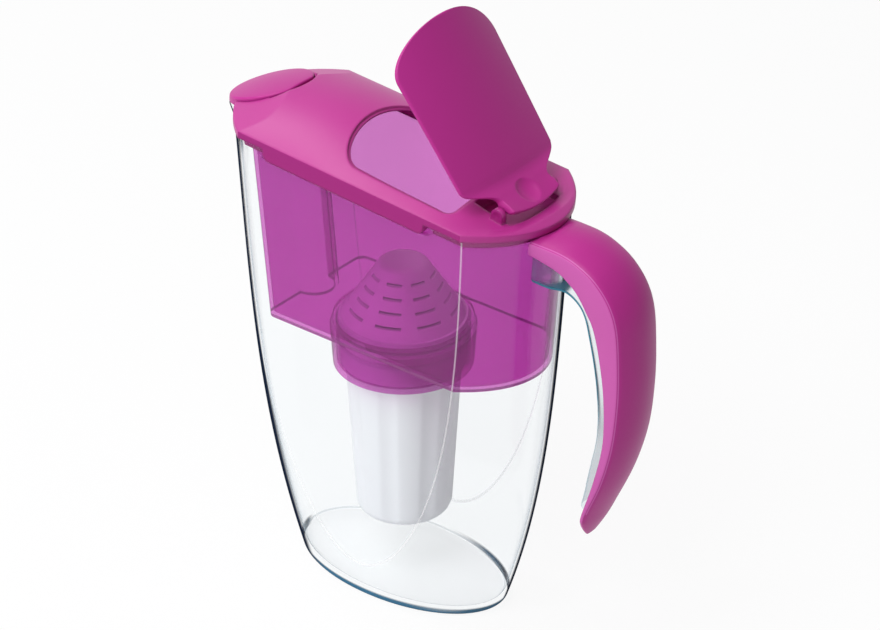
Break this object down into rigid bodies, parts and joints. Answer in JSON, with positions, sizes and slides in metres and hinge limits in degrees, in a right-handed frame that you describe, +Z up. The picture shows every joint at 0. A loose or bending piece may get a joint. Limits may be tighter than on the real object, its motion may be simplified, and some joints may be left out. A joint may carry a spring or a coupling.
{
  "type": "water filter pitcher",
  "caption": "Clear flat-sided water filter pitcher with a lift-out hopper, drop-in cartridge, lid with hinged filling flap and spout cover, and a free-ended handle.",
  "frame": {"origin": "centre of the foot, on the table", "axes": "+X from the spout to the handle, +Z up, the part is mirror-symmetric about Y = 0"},
  "size_m": [0.2609, 0.0876, 0.3347],
  "materials": {
    "clear_plastic": "clear, polished",
    "magenta_plastic": "satin",
    "tinted_plastic": "translucent, satin",
    "white_plastic": "satin",
    "pale_plastic": "satin",
    "seal_rubber": "soft silicone",
    "screen_fabric": "fine mesh",
    "granules": "granular"
  },
  "bodies": {
    "jug": {"jug": "clear_plastic", "handle_cover": "magenta_plastic"},
    "hopper": {"hopper": "tinted_plastic"},
    "cartridge": {"cartridge_cup": "white_plastic", "cartridge_head": "white_plastic", "cartridge_dome": "pale_plastic", "well_seal": "seal_rubber", "inlet_screen": "screen_fabric", "sorbent_bed": "granules", "outlet_pad": "screen_fabric", "outlet_grid": "white_plastic"},
    "lid": {"lid_cover": "magenta_plastic"},
    "flap": {"fill_flap": "magenta_plastic"},
    "spout_cover": {"spout_cover": "magenta_plastic"}
  },
  "joints": [
    {"name": "hopper_lift", "type": "slide", "parent": "jug", "child": "hopper", "axis": [0, 0, 1], "range_m": [0, 0.22]},
    {"name": "cartridge_lift", "type": "slide", "parent": "hopper", "child": "cartridge", "axis": [0, 0, 1], "range_m": [0, 0.055]},
    {"name": "lid_lift", "type": "slide", "parent": "hopper", "child": "lid", "axis": [0, 0, 1], "range_m": [0, 0.08]},
    {"name": "fill_flap_hinge", "type": "hinge", "parent": "lid", "child": "flap", "pos_m": [0.07741, 0, 0.24866], "axis": [0, 1, 0], "range_deg": [-47.9, 0]},
    {"name": "spout_cover_hinge", "type": "hinge", "parent": "lid", "child": "spout_cover", "pos_m": [-0.06863, 0, 0.26303], "axis": [0, 1, 0], "range_deg": [0, 30]}
  ]
}
